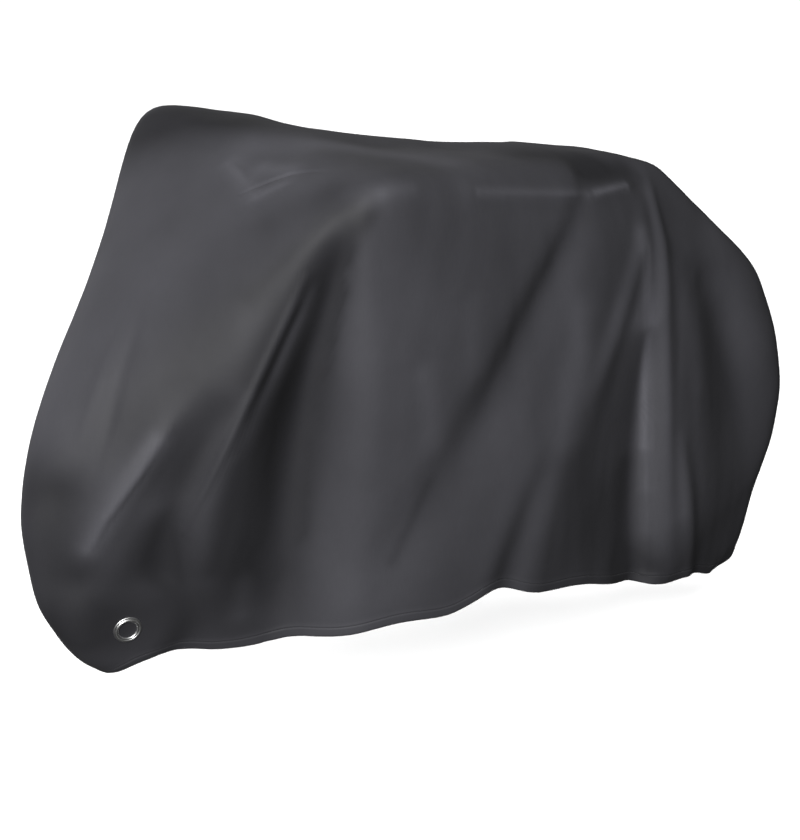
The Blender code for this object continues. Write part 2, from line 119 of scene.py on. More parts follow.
# Folds, each a soft ridge (depth over 0) or trough (under 0) along a curve on one side of the cloth.
# lean makes the rearward flank (under 0) or the forward flank (over 0) the steeper one.
FOLDS = (
    # name, side, x_top, z_top, x_mid, z_mid, x_foot, z_foot, width_top, width_foot, depth_top, depth_mid, depth_foot, lean
    ("bar_valley", "near", 0.152, 0.985, 0.116, 0.610, 0.080, 0.160, 0.028, 0.128, -0.010, -0.100, -0.088, -0.16),
    ("fork_trough", "near", -0.030, 0.700, -0.108, 0.530, -0.150, 0.330, 0.030, 0.074, -0.004, -0.038, -0.028, -0.25),
    ("wheel_rib", "near", -0.110, 0.665, -0.188, 0.540, -0.262, 0.385, 0.020, 0.028, 0.004, 0.022, 0.008, -0.35),
    ("wheel_tuck", "near", -0.160, 0.470, -0.115, 0.320, -0.085, 0.120, 0.040, 0.085, 0.000, -0.036, -0.040, 0.00),
    ("long_trough", "near", 0.770, 0.930, 0.535, 0.658, 0.295, 0.330, 0.036, 0.086, -0.008, -0.020, -0.010, 0.10),
    ("long_ridge", "near", 0.830, 0.820, 0.680, 0.480, 0.520, 0.200, 0.070, 0.120, 0.004, 0.016, 0.014, 0.00),
    ("hem_trough", "near", 0.640, 0.480, 0.580, 0.320, 0.545, 0.180, 0.026, 0.044, -0.002, -0.018, -0.020, 0.10),
    ("seat_rib", "near", 0.985, 0.900, 0.860, 0.690, 0.790, 0.560, 0.022, 0.040, 0.002, 0.010, 0.004, 0.30),
    ("seat_trough", "near", 0.996, 0.660, 0.984, 0.400, 0.992, 0.120, 0.050, 0.140, -0.002, -0.048, -0.050, -0.78),
    ("seat_ridge", "near", 1.020, 0.930, 1.016, 0.520, 1.060, 0.100, 0.014, 0.070, 0.006, 0.020, 0.008, 0.45),
    ("stay_rib", "near", 1.080, 0.420, 1.105, 0.260, 1.130, 0.080, 0.024, 0.030, 0.000, 0.008, 0.008, 0.0),
    ("rack_trough", "near", 1.150, 0.750, 1.290, 0.520, 1.375, 0.200, 0.040, 0.120, -0.006, -0.036, -0.014, -0.20),
    ("top_sag_far", "far", 0.310, 1.090, 0.560, 1.040, 0.820, 0.995, 0.130, 0.110, -0.006, -0.042, -0.006, 0.0),
    ("far_bar_trough", "far", 0.090, 0.960, -0.010, 0.620, -0.100, 0.280, 0.024, 0.056, -0.006, -0.034, -0.018, -0.20),
    ("far_bar_ridge", "far", 0.150, 1.000, 0.120, 0.640, 0.080, 0.150, 0.040, 0.080, 0.006, 0.022, 0.022, 0.0),
    ("far_frame_trough", "far", 0.260, 0.900, 0.300, 0.560, 0.300, 0.120, 0.030, 0.070, -0.004, -0.028, -0.032, 0.20),
    ("far_long_ridge", "far", 0.820, 0.870, 0.560, 0.540, 0.430, 0.120, 0.050, 0.080, 0.002, 0.020, 0.022, 0.0),
    ("far_long_trough", "far", 0.900, 0.820, 0.700, 0.500, 0.600, 0.100, 0.030, 0.060, -0.004, -0.028, -0.026, -0.20),
    ("far_seat_ridge", "far", 1.010, 0.930, 0.930, 0.560, 0.880, 0.060, 0.024, 0.060, 0.004, 0.028, 0.022, 0.0),
    ("far_seat_trough", "far", 1.060, 0.800, 1.060, 0.460, 1.040, 0.040, 0.028, 0.060, -0.004, -0.030, -0.026, 0.15),
    ("far_rack_rib", "far", 1.180, 0.720, 1.180, 0.400, 1.170, 0.020, 0.030, 0.044, 0.000, 0.014, 0.012, 0.0),
    ("far_wheel_rib", "far", -0.090, 0.640, -0.170, 0.500, -0.240, 0.340, 0.022, 0.034, 0.002, 0.016, 0.006, 0.0),
)

# Hollows (depth under 0) and swellings (over 0) along straight lines, where the cloth sags between supports.
DENTS = (
    # name, x_from, y_from, z_from, x_to, y_to, z_to, radius, depth
    ("bars_sag", 0.092, 0.215, 1.092, 0.180, -0.075, 1.084, 0.040, -0.004),
    ("tube_sag", 0.430, -0.010, 1.073, 0.560, -0.010, 1.058, 0.090, -0.009),
    ("saddle_sag", 0.820, -0.130, 0.990, 0.970, -0.082, 0.968, 0.040, -0.015),
    ("near_edge_front", 0.440, -0.292, 1.024, 0.760, -0.184, 0.965, 0.018, 0.004),
    ("near_edge_rear", 0.824, -0.162, 0.956, 0.990, -0.088, 0.957, 0.018, 0.005),
    ("nose_hollow", -0.296, -0.070, 0.500, -0.284, -0.066, 0.350, 0.046, -0.014),
)

# The eyelets, in the two sides of the front corner.
EYELETS = (
    # name, side, x, z
    ("near", "near", -0.171, 0.229),
    ("far", "far", -0.170, 0.226),
)

# Ribs run from the hem up to the spine along the top.
RIBS, STEPS = 320, 120
FAN = (0.60, 0.52, 0.46)  # middle, half length and height of the line that the ribs fan out from
SOFTEN = 7  # passes that round the taut cloth where it turns over what carries it

# Where the cloth hangs free between what carries it, it turns in a wider curve.
LOOSE = (
    # name, x, y, z, radius, passes
    ("front_near", -0.030, -0.170, 0.900, 0.230, 160),
    ("front_far", -0.080, 0.150, 0.890, 0.200, 60),
    ("between_grips", 0.160, -0.020, 1.110, 0.190, 60),
)


def through(rows, count):
    """A smooth curve through the rows, as evenly spaced points."""
    p = np.array(rows, float)
    s = np.concatenate([[0], np.cumsum(np.linalg.norm(np.diff(p, axis=0), axis=1))])
    m = np.gradient(p, s, axis=0)
    q = np.linspace(0, s[-1], count)
    i = np.clip(np.searchsorted(s, q) - 1, 0, len(s) - 2)
    h = (s[i + 1] - s[i])[:, None]
    t = (q - s[i])[:, None] / h
    return (
        (2 * t**3 - 3 * t**2 + 1) * p[i]
        + (t**3 - 2 * t**2 + t) * h * m[i]
        + (3 * t**2 - 2 * t**3) * p[i + 1]
        + (t**3 - t**2) * h * m[i + 1]
    )


def ease(x, low, high):
    t = np.clip((x - low) / (high - low), 0, 1)
    return t * t * (3 - 2 * t)


def taut_cloth(ribs, steps):
    """The cloth pulled tight over the bicycle, as ribs x steps x 3 points: step 0 on the hem, the last on the spine.
    Rib angle 0 is the rear tip, 90 degrees the near side, 180 the front tip and 270 the far side."""
    near = through([(x, yn, zn) for _, x, yn, zn, yf, zf in HEM], 60)
    far = through([(x, yf, zf) for _, x, yn, zn, yf, zf in HEM], 60)
    held = [(x, y, z) for _, x, z, half in MIDDLE for y in (-half, half)] + [(x, y, z) for _, x, y, z in SIDE_POINTS]
    bm = bmesh.new()
    for point in [*held, *near, *far]:
        bm.verts.new(point)
    bmesh.ops.convex_hull(bm, input=bm.verts)
    bmesh.ops.delete(bm, geom=[v for v in bm.verts if not v.link_faces], context="VERTS")
    bmesh.ops.triangulate(bm, faces=bm.faces)
    tree = BVHTree.FromBMesh(bm)
    bm.free()
    grid = np.zeros((ribs, steps, 3))
    for i in range(ribs):
        c, s = math.cos(2 * math.pi * i / ribs), math.sin(2 * math.pi * i / ribs)
        out = Vector((0.5 * c, -s, 0)).normalized()
        rib = []
        for tilt in np.radians(np.linspace(-76, 90, 141)):
            up = max(0.0, math.sin(tilt))
            start = Vector((FAN[0] + 0.06 * up + (FAN[1] - 0.25 * up) * c, 0, FAN[2]))
            rib.append(tree.ray_cast(start, math.cos(tilt) * out + Vector((0, 0, math.sin(tilt))))[0])
        rib = np.array(rib)
        side = near if s >= 0 else far
        over = rib[:, 2] - np.interp(rib[:, 0], side[:, 0], side[:, 2])
        k = np.nonzero(over < 0)[0].max()
        foot = rib[k] + (rib[k + 1] - rib[k]) * over[k] / (over[k] - over[k + 1])
        rib = np.vstack([foot, rib[k + 1 :]])
        run = np.concatenate([[0], np.cumsum(np.linalg.norm(np.diff(rib, axis=0), axis=1))])
        grid[i] = np.stack([np.interp(np.linspace(0, run[-1], steps), run, rib[:, a]) for a in range(3)], 1)
    return grid


def across(grid):
    """For each rib, the points one step past the spine: those of the rib that comes down the other side."""
    return grid[-np.arange(len(grid)) % len(grid), -2]


def soften(grid, passes):
    for _ in range(passes):
        grid = 0.5 * grid + 0.25 * (np.roll(grid, 1, 0) + np.roll(grid, -1, 0))
        past = across(grid)
        inner = 0.5 * grid[:, 1:-1] + 0.25 * (grid[:, 2:] + grid[:, :-2])
        spine = 0.5 * grid[:, -1] + 0.25 * (grid[:, -2] + past)
        grid = np.concatenate([grid[:, :1], inner, spine[:, None]], 1)
    return grid


def loosened(grid):
    for _, x, y, z, radius, passes in LOOSE:
        share = np.exp(-(((grid - np.array((x, y, z))) ** 2).sum(2) / radius**2))[..., None]
        for _ in range(passes):
            grid = grid + share * (soften(grid, 1) - grid)
    return grid


def normals(grid):
    """Outward unit normals."""
    along = np.roll(grid, -1, 0) - np.roll(grid, 1, 0)
    up = np.concatenate([grid[:, 1:2] - grid[:, :1], grid[:, 2:] - grid[:, :-2], (across(grid) - grid[:, -2])[:, None]], 1)
    n = np.cross(up, along)
    n[:, -1] = n[:, -2] + n[-np.arange(len(grid)) % len(grid), -2]
    return n / np.maximum(np.linalg.norm(n, axis=2, keepdims=True), 1e-12)


def tree_of(grid):
    ribs, steps, _ = grid.shape
    faces = [
        (i * steps + j, (i + 1) % ribs * steps + j, (i + 1) % ribs * steps + j + 1, i * steps + j + 1)
        for i in range(ribs)
        for j in range(steps - 1)
    ]
    return BVHTree.FromPolygons([Vector(p) for p in grid.reshape(-1, 3)], faces)


def on_side(tree, side, x, z):
    """The point of the cloth at x, z on one side, and its normal."""
    sign = -1.0 if side == "near" else 1.0
    point, normal, _, _ = tree.ray_cast(Vector((x, sign * 2, z)), Vector((0, -sign, 0)))
    if point is None:
        return None, None
    return np.array(point), np.array(normal) * (1 if normal.y * sign > 0 else -1)


def fold_path(tree, row):
    _, side, x0, z0, x1, z1, x2, z2 = row[:8]
    points, facing = [], []
    for t in np.linspace(0, 1, 49):
        a, b, c = (1 - t) * (1 - 2 * t), 4 * t * (1 - t), t * (2 * t - 1)
        x, z = a * x0 + b * x1 + c * x2, a * z0 + b * z1 + c * z2
        point, normal = on_side(tree, side, x, z)
        if point is None and points:
            point, normal = np.array((x, points[-1][1], z)), facing[-1]
        if point is not None:
            points.append(point)
            facing.append(normal)
    points = np.array(points)
    for _ in range(3):
        points[1:-1] = 0.5 * points[1:-1] + 0.25 * (points[2:] + points[:-2])
    return points, np.array(facing)


def fold_offsets(grid, n, tree, rows):
    """How far each point stands out of the taut cloth, along its normal, for the folds."""
    flat, facing = grid.reshape(-1, 3), n.reshape(-1, 3)
    total = np.zeros(len(flat))
    for row in rows:
        path, path_n = fold_path(tree, row)
        w0, w1, d0, d1, d2, lean = row[8:14]
        reach = np.abs(flat[:, None] - path[None, ::8]).max(2).min(1) < 3.2 * max(w0, w1) + 0.08
        p, pn = flat[reach], facing[reach]
        k = ((p[:, None] - path[None]) ** 2).sum(2).argmin(1)
        run = np.gradient(path, axis=0)
        run /= np.linalg.norm(run, axis=1, keepdims=True)
        away = p - path[k]
        step = np.linalg.norm(path[-1] - path[0]) / (len(path) - 1)
        ends = ((k == 0) | (k == len(path) - 1)).astype(float)
        along = (away * run[k]).sum(1)
        t = np.clip((k + np.clip(along / step, -0.5, 0.5)) / (len(path) - 1), 0, 1)
        rest = away - (1 - ends)[:, None] * along[:, None] * run[k]
        sideways = (np.cross(run[k], path_n[k]) * rest).sum(1)
        wide = w0 + (w1 - w0) * t
        wide = wide * np.where(sideways * (1 if row[1] == "near" else -1) < 0, 1 + lean, 1 - lean)
        rise, fall = 4 * (d1 - d0) - (d2 - d0), 2 * (d2 - d0) - 4 * (d1 - d0)
        depth = d0 + rise * t + fall * t * t
        same = ease((pn * path_n[k]).sum(1), -0.1, 0.5)
        total[reach] += depth * same * np.exp(-((np.linalg.norm(rest, axis=1) / wide) ** 2))
    return total.reshape(grid.shape[:2])


def dent_offsets(grid, rows):
    """How far each point stands out where the cloth sags or swells."""
    total = np.zeros(grid.shape[:2])
    for _, x0, y0, z0, x1, y1, z1, radius, depth in rows:
        start, run = np.array((x0, y0, z0)), np.array((x1 - x0, y1 - y0, z1 - z0))
        t = np.clip(((grid - start) * run).sum(2) / (run**2).sum(), 0, 1)[..., None]
        total += depth * np.exp(-(((grid - start - t * run) ** 2).sum(2) / radius**2))
    return total


def eyelet_places(tree):
    """Centre and outward normal of each eyelet, on the folded cloth."""
    places = {}
    for name, side, x, z in EYELETS:
        ring = [on_side(tree, side, x + 0.02 * math.cos(a), z + 0.02 * math.sin(a)) for a in np.linspace(0, 5.5, 8)]
        point = np.mean([p for p, _ in ring], axis=0)
        normal = np.sum([m for _, m in ring], axis=0)
        places[name] = point, normal / np.linalg.norm(normal)
    return places


def cloth_surface(ribs, steps, rows):
    """The outer face of the draped cloth, with its normals and the eyelets' places."""
    grid = loosened(soften(taut_cloth(ribs, steps), SOFTEN))
    n = normals(grid)
    offset = fold_offsets(grid, n, tree_of(grid), rows) + dent_offsets(grid, DENTS)
    grid = grid + offset[..., None] * n
    grid = soften(grid, 2)
    places = eyelet_places(tree_of(grid))
    for centre, normal in places.values():
        away = grid - centre
        height = (away * normal).sum(2)
        radius = np.linalg.norm(away - height[..., None] * normal, axis=2)
        flatten = (1 - ease(radius, *EYELET_FLAT)) * (np.abs(height) < 0.05) * ease((normals(grid) * normal).sum(2), 0.2, 0.6)
        grid = grid - (flatten * height)[..., None] * normal
    return grid, normals(grid), places


# ---- The finer sheet -------------------------------------------------------------------------------------------

FINE_RIBS = 500
ROWS_AT_HEM = (0.0, 0.0012, 0.0032, 0.0065, 0.0100, 0.0135, 0.0158, 0.0172, 0.0180, 0.0188, 0.0202, 0.0225, 0.0260, 0.0310, 0.0370, 0.0440)
ROWS_ABOVE = 128

# The hem is turned up inside and sewn down.
HEM_TURN = 0.0215  # height of the turned-up part
HEM_STITCH = 0.0180  # height of the stitching over the edge
HEM_PLY = 0.0022  # from the outer face to the turned-up part

# Sharper creases than the solid's, as lines through the points of one name, with Gaussian sides.
CREASES = (
    # name, x, y, z, width, depth
    ("bar_crease", 0.081, -0.088, 1.025, 0.0045, -0.0012),
    ("bar_crease", 0.110, -0.113, 1.043, 0.0050, -0.0034),
    ("bar_crease", 0.131, -0.129, 1.055, 0.0050, -0.0040),
    ("bar_crease", 0.150, -0.145, 1.064, 0.0050, -0.0034),
    ("bar_crease", 0.172, -0.175, 1.072, 0.0045, -0.0022),
    ("bar_crease", 0.188, -0.205, 1.076, 0.0045, -0.0006),
    ("bar_lip", 0.078, -0.112, 1.016, 0.0090, 0.0010),
    ("bar_lip", 0.105, -0.133, 1.032, 0.0100, 0.0040),
    ("bar_lip", 0.128, -0.149, 1.045, 0.0100, 0.0040),
    ("bar_lip", 0.148, -0.165, 1.054, 0.0090, 0.0010),
    ("bar_fold", 0.112, 0.010, 1.060, 0.0080, 0.0006),
    ("bar_fold", 0.108, -0.040, 1.052, 0.0090, 0.0036),
    ("bar_fold", 0.101, -0.076, 1.042, 0.0080, 0.0010),
    ("saddle_edge", 0.466, -0.287, 1.021, 0.0070, 0.0004),
    ("saddle_edge", 0.583, -0.249, 0.997, 0.0070, 0.0016),
    ("saddle_edge", 0.708, -0.207, 0.973, 0.0070, 0.0020),
    ("saddle_edge", 0.792, -0.178, 0.959, 0.0080, 0.0030),
    ("saddle_edge", 0.841, -0.160, 0.954, 0.0080, 0.0042),
    ("saddle_edge", 0.885, -0.141, 0.951, 0.0080, 0.0046),
    ("saddle_edge", 0.932, -0.121, 0.949, 0.0080, 0.0036),
    ("saddle_edge", 0.972, -0.102, 0.947, 0.0070, 0.0010),
    ("seat_crease", 0.973, -0.158, 0.620, 0.0070, 0.0004),
    ("seat_crease", 0.987, -0.147, 0.501, 0.0080, 0.0030),
    ("seat_crease", 0.993, -0.146, 0.368, 0.0090, 0.0036),
    ("seat_crease", 1.001, -0.147, 0.234, 0.0090, 0.0026),
    ("seat_crease", 1.006, -0.146, 0.119, 0.0080, 0.0006),
    ("panel_crease", 0.098, -0.288, 0.910, 0.0080, 0.0010),
    ("panel_crease", 0.071, -0.276, 0.848, 0.0090, 0.0036),
    ("panel_crease", 0.032, -0.263, 0.765, 0.0090, 0.0042),
    ("panel_crease", -0.005, -0.251, 0.685, 0.0090, 0.0042),
    ("panel_crease", -0.039, -0.231, 0.602, 0.0090, 0.0036),
    ("panel_crease", -0.069, -0.200, 0.519, 0.0080, 0.0030),
    ("panel_crease", -0.091, -0.154, 0.428, 0.0080, 0.0008),
    ("panel_gutter", 0.116, -0.292, 0.900, 0.0110, -0.0010),
    ("panel_gutter", 0.093, -0.278, 0.838, 0.0130, -0.0046),
    ("panel_gutter", 0.054, -0.264, 0.755, 0.0130, -0.0050),
    ("panel_gutter", 0.014, -0.248, 0.675, 0.0130, -0.0046),
    ("panel_gutter", -0.022, -0.224, 0.592, 0.0120, -0.0036),
    ("panel_gutter", -0.052, -0.188, 0.509, 0.0110, -0.0010),
    ("panel_ripple", -0.085, -0.047, 0.873, 0.0130, -0.0006),
    ("panel_ripple", -0.153, -0.092, 0.771, 0.0150, -0.0024),
    ("panel_ripple", -0.206, -0.111, 0.654, 0.0150, -0.0026),
    ("panel_ripple", -0.246, -0.106, 0.536, 0.0130, -0.0006),
    ("front_ripple", -0.151, -0.051, 0.798, 0.0130, 0.0006),
    ("front_ripple", -0.208, -0.071, 0.709, 0.0150, 0.0022),
    ("front_ripple", -0.251, -0.078, 0.616, 0.0130, 0.0006),
    ("wheel_crease", -0.130, -0.190, 0.640, 0.0080, 0.0006),
    ("wheel_crease", -0.180, -0.165, 0.560, 0.0080, 0.0030),
    ("wheel_crease", -0.232, -0.128, 0.475, 0.0090, 0.0036),
    ("wheel_crease", -0.256, -0.096, 0.400, 0.0080, 0.0008),
)

RIDGE_PAINTED_HIGHLIGHT, TROUGH_PAINTED_SHADE = 0.10, 0.26  # painted highlight on ridges and painted shade in troughs: how much lighter a ridge is than even cloth, and how much darker a trough

# Painted highlights (change over 0) and painted shade (change under 0): patches where the cloth's colour is made paler
# or darker, as a share of its colour, to stand in for light and shade, in the columns of DENTS.
TONES = (
    # name, x_from, y_from, z_from, x_to, y_to, z_to, radius, change
    ("front_painted_highlight", -0.110, 0.120, 0.860, -0.290, -0.010, 0.610, 0.050, 0.16),
    ("front_painted_shade", -0.040, -0.200, 0.780, -0.240, -0.080, 0.570, 0.095, -0.22),
    ("nose_painted_shade", -0.310, -0.040, 0.500, -0.270, -0.040, 0.250, 0.080, -0.60),
    ("wheel_painted_shade", -0.170, -0.080, 0.240, 0.010, -0.130, 0.260, 0.125, -0.42),
    ("gutter_painted_shade", 0.075, -0.277, 0.895, 0.010, -0.258, 0.740, 0.028, -0.36),
    ("valley_top_painted_shade", 0.155, -0.285, 0.890, 0.152, -0.240, 0.760, 0.032, -0.30),
    ("valley_head_painted_shade", 0.165, -0.310, 0.935, 0.200, -0.340, 1.020, 0.016, -0.30),
    ("valley_fore_painted_shade", 0.100, -0.280, 0.850, -0.015, -0.240, 0.600, 0.018, -0.12),
    ("pocket_painted_shade", 0.000, -0.235, 0.660, -0.120, -0.130, 0.380, 0.070, -0.36),
    ("valley_painted_shade", 0.115, -0.235, 0.690, 0.080, -0.180, 0.340, 0.085, -0.38),
    ("valley_low_painted_shade", -0.022, -0.236, 0.560, -0.036, -0.160, 0.350, 0.028, -0.20),
    ("valley_right_painted_shade", 0.169, -0.290, 0.875, 0.154, -0.230, 0.725, 0.018, -0.30),
    ("valley_side_painted_shade", 0.118, -0.180, 0.560, 0.142, -0.160, 0.400, 0.032, -0.34),
    ("flap_painted_shade", 0.020, -0.236, 0.875, 0.160, -0.322, 1.008, 0.026, -0.24),
    ("long_trough_painted_shade", 0.358, -0.285, 0.480, 0.292, -0.263, 0.330, 0.014, -0.26),
    ("side_band_painted_highlight", 0.322, -0.322, 0.700, 0.362, -0.302, 0.560, 0.026, 0.28),
    ("valley_foot_painted_highlight", 0.043, -0.130, 0.290, 0.042, -0.118, 0.232, 0.030, 0.34),
    ("panel_painted_shade", 0.050, -0.240, 0.920, -0.150, -0.160, 0.650, 0.110, -0.34),
    ("shoulder_painted_shade", 0.155, -0.300, 1.020, 0.125, -0.300, 0.940, 0.060, -0.42),
    ("crease_painted_highlight", -0.150, -0.182, 0.620, -0.251, -0.099, 0.412, 0.021, 0.62),
    ("bar_end_painted_shade", 0.060, 0.300, 1.090, 0.200, 0.170, 1.110, 0.090, -0.72),
    ("bar_painted_highlight", 0.171, 0.020, 1.080, 0.310, -0.060, 1.080, 0.060, 0.40),
    ("bend_painted_highlight", 0.112, 0.005, 1.062, 0.090, -0.110, 1.028, 0.020, 0.28),
    ("lip_painted_highlight", 0.095, -0.128, 1.026, 0.140, -0.158, 1.050, 0.014, 0.24),
    ("top_painted_highlight", 0.260, -0.060, 1.091, 0.450, -0.205, 1.066, 0.055, 0.40),
    ("bend_glow", 0.137, -0.075, 1.066, 0.158, -0.132, 1.068, 0.024, 0.40),
    ("bar_end_glow", 0.225, -0.335, 1.052, 0.290, -0.322, 1.050, 0.013, 0.45),
    ("bar_end_shade", 0.180, -0.332, 1.022, 0.150, -0.310, 0.990, 0.022, -0.26),
    ("tube_painted_highlight", 0.400, -0.150, 1.050, 0.560, -0.130, 1.030, 0.070, 0.26),
    ("lip_painted_shade", 0.165, -0.262, 1.050, 0.085, -0.200, 0.995, 0.035, -0.18),
    ("saddle_painted_shade", 0.830, -0.130, 0.990, 0.975, -0.078, 0.970, 0.036, -0.50),
    ("saddle_nose_painted_shade", 0.680, -0.110, 1.024, 0.860, -0.080, 1.004, 0.048, -0.52),
    ("edge_painted_highlight_front", 0.466, -0.287, 1.021, 0.805, -0.170, 0.957, 0.011, 0.50),
    ("edge_painted_highlight_rear", 0.830, -0.160, 0.955, 0.945, -0.109, 0.947, 0.010, 1.15),
    ("side_fore_painted_highlight", 0.432, -0.311, 0.810, 0.450, -0.306, 0.700, 0.036, 0.24),
    ("low_side_fore_painted_highlight", 0.350, -0.285, 0.520, 0.300, -0.268, 0.350, 0.075, 0.24),
    ("side_painted_highlight", 0.420, -0.310, 0.860, 0.660, -0.240, 0.880, 0.150, 0.28),
    ("low_side_painted_highlight", 0.520, -0.270, 0.560, 0.640, -0.230, 0.460, 0.120, 0.16),
    ("seat_painted_highlight", 0.895, -0.165, 0.660, 0.860, -0.172, 0.420, 0.075, 0.62),
    ("seat_mid_painted_highlight", 0.770, -0.234, 0.650, 0.746, -0.245, 0.500, 0.040, 0.36),
    ("seat_fore_painted_highlight", 0.745, -0.231, 0.740, 0.690, -0.265, 0.500, 0.040, 0.48),
    ("flank_fore_painted_highlight", 0.950, -0.150, 0.850, 0.932, -0.176, 0.690, 0.028, 0.60),
    ("flank_high_painted_highlight", 0.968, -0.145, 0.850, 0.962, -0.155, 0.790, 0.022, 0.30),
    ("flank_painted_highlight_top", 0.960, -0.156, 0.820, 0.969, -0.161, 0.672, 0.020, 1.25),
    ("flank_painted_highlight", 0.973, -0.154, 0.640, 0.989, -0.145, 0.400, 0.013, 1.05),
    ("flank_painted_highlight_low", 0.991, -0.146, 0.375, 0.995, -0.145, 0.310, 0.015, 0.50),
    ("flank_painted_highlight_end", 0.997, -0.145, 0.285, 1.001, -0.146, 0.215, 0.018, 0.24),
    ("stay_hem_painted_shade", 0.930, -0.140, 0.120, 1.030, -0.152, 0.120, 0.060, -0.55),
    ("stay_painted_shade", 0.940, -0.135, 0.360, 0.925, -0.140, 0.170, 0.034, -0.34),
    ("stay_painted_highlight", 1.062, -0.158, 0.760, 1.078, -0.167, 0.240, 0.032, 0.85),
    ("stay_hem_painted_highlight", 1.076, -0.166, 0.190, 1.068, -0.163, 0.130, 0.026, 0.36),
    ("rear_side_painted_highlight", 1.090, -0.135, 0.650, 1.150, -0.132, 0.220, 0.060, 0.34),
    ("rear_fold_painted_highlight", 1.165, -0.100, 0.680, 1.157, -0.116, 0.500, 0.026, 0.24),
    ("rack_painted_highlight", 1.240, -0.060, 0.800, 1.340, -0.061, 0.555, 0.075, 0.44),
    ("hem_painted_highlight", 0.210, -0.220, 0.250, 0.300, -0.258, 0.255, 0.060, 0.08),
)


def smooth_between(p0, p1, p2, p3, t):
    """Catmull-Rom between p1 and p2."""
    return 0.5 * (2 * p1 + (p2 - p0) * t + (2 * p0 - 5 * p1 + 4 * p2 - p3) * t**2 + (3 * p1 - p0 - 3 * p2 + p3) * t**3)


def finer(grid, ribs):
    """The same surface with more ribs, with ROWS_AT_HEM and then even rows up to the spine. Also gives each point's
    distance up from the hem."""
    n, steps, _ = grid.shape
    at = np.arange(ribs) * n / ribs
    i = np.floor(at).astype(int)
    t = (at - i)[:, None, None]
    grid = smooth_between(grid[(i - 1) % n], grid[i % n], grid[(i + 1) % n], grid[(i + 2) % n], t)
    below = 2 * grid[:, :1] - grid[:, 1:2]
    other = grid[-np.arange(ribs) % ribs]
    long = np.concatenate([below, grid, other[:, -2:-4:-1]], 1)
    run = np.concatenate([np.zeros((ribs, 1)), np.cumsum(np.linalg.norm(np.diff(grid, axis=1), axis=2), axis=1)], 1)
    low = np.array(ROWS_AT_HEM)
    share = np.linspace(0, 1, ROWS_ABOVE + 1)[1:]
    up = np.concatenate([np.tile(low, (ribs, 1)), low[-1] + (run[:, -1:] - low[-1]) * share], 1)
    out = np.zeros((ribs, up.shape[1], 3))
    for k in range(ribs):
        u = np.interp(up[k], run[k], np.arange(steps))
        j = np.minimum(np.floor(u).astype(int), steps - 2)
        w = (u - j)[:, None]
        out[k] = smooth_between(long[k, j], long[k, j + 1], long[k, j + 2], long[k, j + 3], w)
    return out, up


def unevenness(grid, n, up):
    """Soft, shallow unevenness: long soft waves down the sides, and slight puckers along the hem."""
    flat = grid.reshape(-1, 3)
    total = np.zeros(len(flat))
    for k, p in enumerate(flat):
        total[k] = (
            0.0016 * noise.noise(Vector((p[0] * 9.0, p[1] * 7.0, p[2] * 2.6 + 3.1)))
            + 0.0007 * noise.noise(Vector((p[0] * 24.0, p[1] * 20.0, p[2] * 8.0 - 5.7)))
        )
    total = total.reshape(grid.shape[:2])
    edge = grid[:, 0]
    pucker = np.array([noise.noise(Vector(p) * 26.0) + 0.5 * noise.noise(Vector(p) * 55.0) for p in edge])
    return total + 0.0011 * pucker[:, None] * np.exp(-up / 0.035)


def standing_out(grid):
    """How far each point stands over the cloth round it: about 1 on a strong ridge, -1 in a deep trough."""
    over = np.zeros(grid.shape[:2])
    for passes, scale in ((220, 0.020), (30, 0.0045)):
        smooth = soften(grid, passes)
        over += np.tanh(((grid - smooth) * normals(smooth)).sum(2) / scale)
    return soften(np.clip(over / 2, -1, 1)[..., None], 2)[..., 0]


def crease_offsets(points):
    """How far the CREASES push each point out."""
    total = np.zeros(len(points))
    for name in dict.fromkeys(row[0] for row in CREASES):
        rows = np.array([row[1:] for row in CREASES if row[0] == name])
        strongest = np.zeros(len(points))
        for start, end in zip(rows[:-1], rows[1:]):
            way = end[:3] - start[:3]
            t = np.clip((points - start[:3]) @ way / (way @ way), 0, 1)
            width, depth = (start[3:, None] * (1 - t) + end[3:, None] * t)
            away = np.linalg.norm(points - start[:3] - t[:, None] * way, axis=1)
            value = depth * np.exp(-((away / width) ** 2))
            strongest = np.where(np.abs(value) > np.abs(strongest), value, strongest)
        total += strongest
    return total


def crease_mesh(bm):
    """Divides the cloth more finely along the CREASES and shapes them."""
    bm.faces.ensure_lookup_table()
    middles = np.array([face.calc_center_median() for face in bm.faces]) + np.array(SADDLE)
    near = np.zeros(len(middles), bool)
    for start, end in zip(CREASES[:-1], CREASES[1:]):
        if start[0] == end[0]:
            a, way = np.array(start[1:4]), np.array(end[1:4]) - np.array(start[1:4])
            t = np.clip((middles - a) @ way / (way @ way), 0, 1)
            near |= np.linalg.norm(middles - a - t[:, None] * way, axis=1) < 0.022
    edges = {edge for k in np.flatnonzero(near) for edge in bm.faces[int(k)].edges}
    bmesh.ops.subdivide_edges(bm, edges=sorted(edges, key=lambda edge: edge.index), cuts=2, use_grid_fill=True)
    bm.normal_update()
    places = np.array([vert.co for vert in bm.verts]) + np.array(SADDLE)
    ways = [vert.normal.copy() for vert in bm.verts]
    for vert, way, offset in zip(bm.verts, ways, crease_offsets(places)):
        if abs(offset) > 1e-5:
            vert.co += way * offset


def fine_surface():
    """The finer outer face with its normals, distances up from the hem, and the eyelets' places."""
    coarse, _, places = cloth_surface(RIBS, STEPS, FOLDS)
    grid, up = finer(coarse, FINE_RIBS)
    n = normals(grid)
    offset = unevenness(grid, n, up)
    for centre, _ in places.values():
        offset *= ease(np.linalg.norm(grid - centre, axis=2), 0.026, 0.055)
    grid = grid + offset[..., None] * n
    return grid, normals(grid), up, places


def hem_profile(up):
    """How far the outer face stands out over the turned-up hem: full over the fold, drawn in at the stitching."""
    full = 0.0009 * ease(up, -0.001, 0.003) * (1 - ease(up, HEM_TURN - 0.002, HEM_TURN + 0.004))
    return full - 0.0010 * np.exp(-(((up - HEM_STITCH) / 0.0011) ** 2))


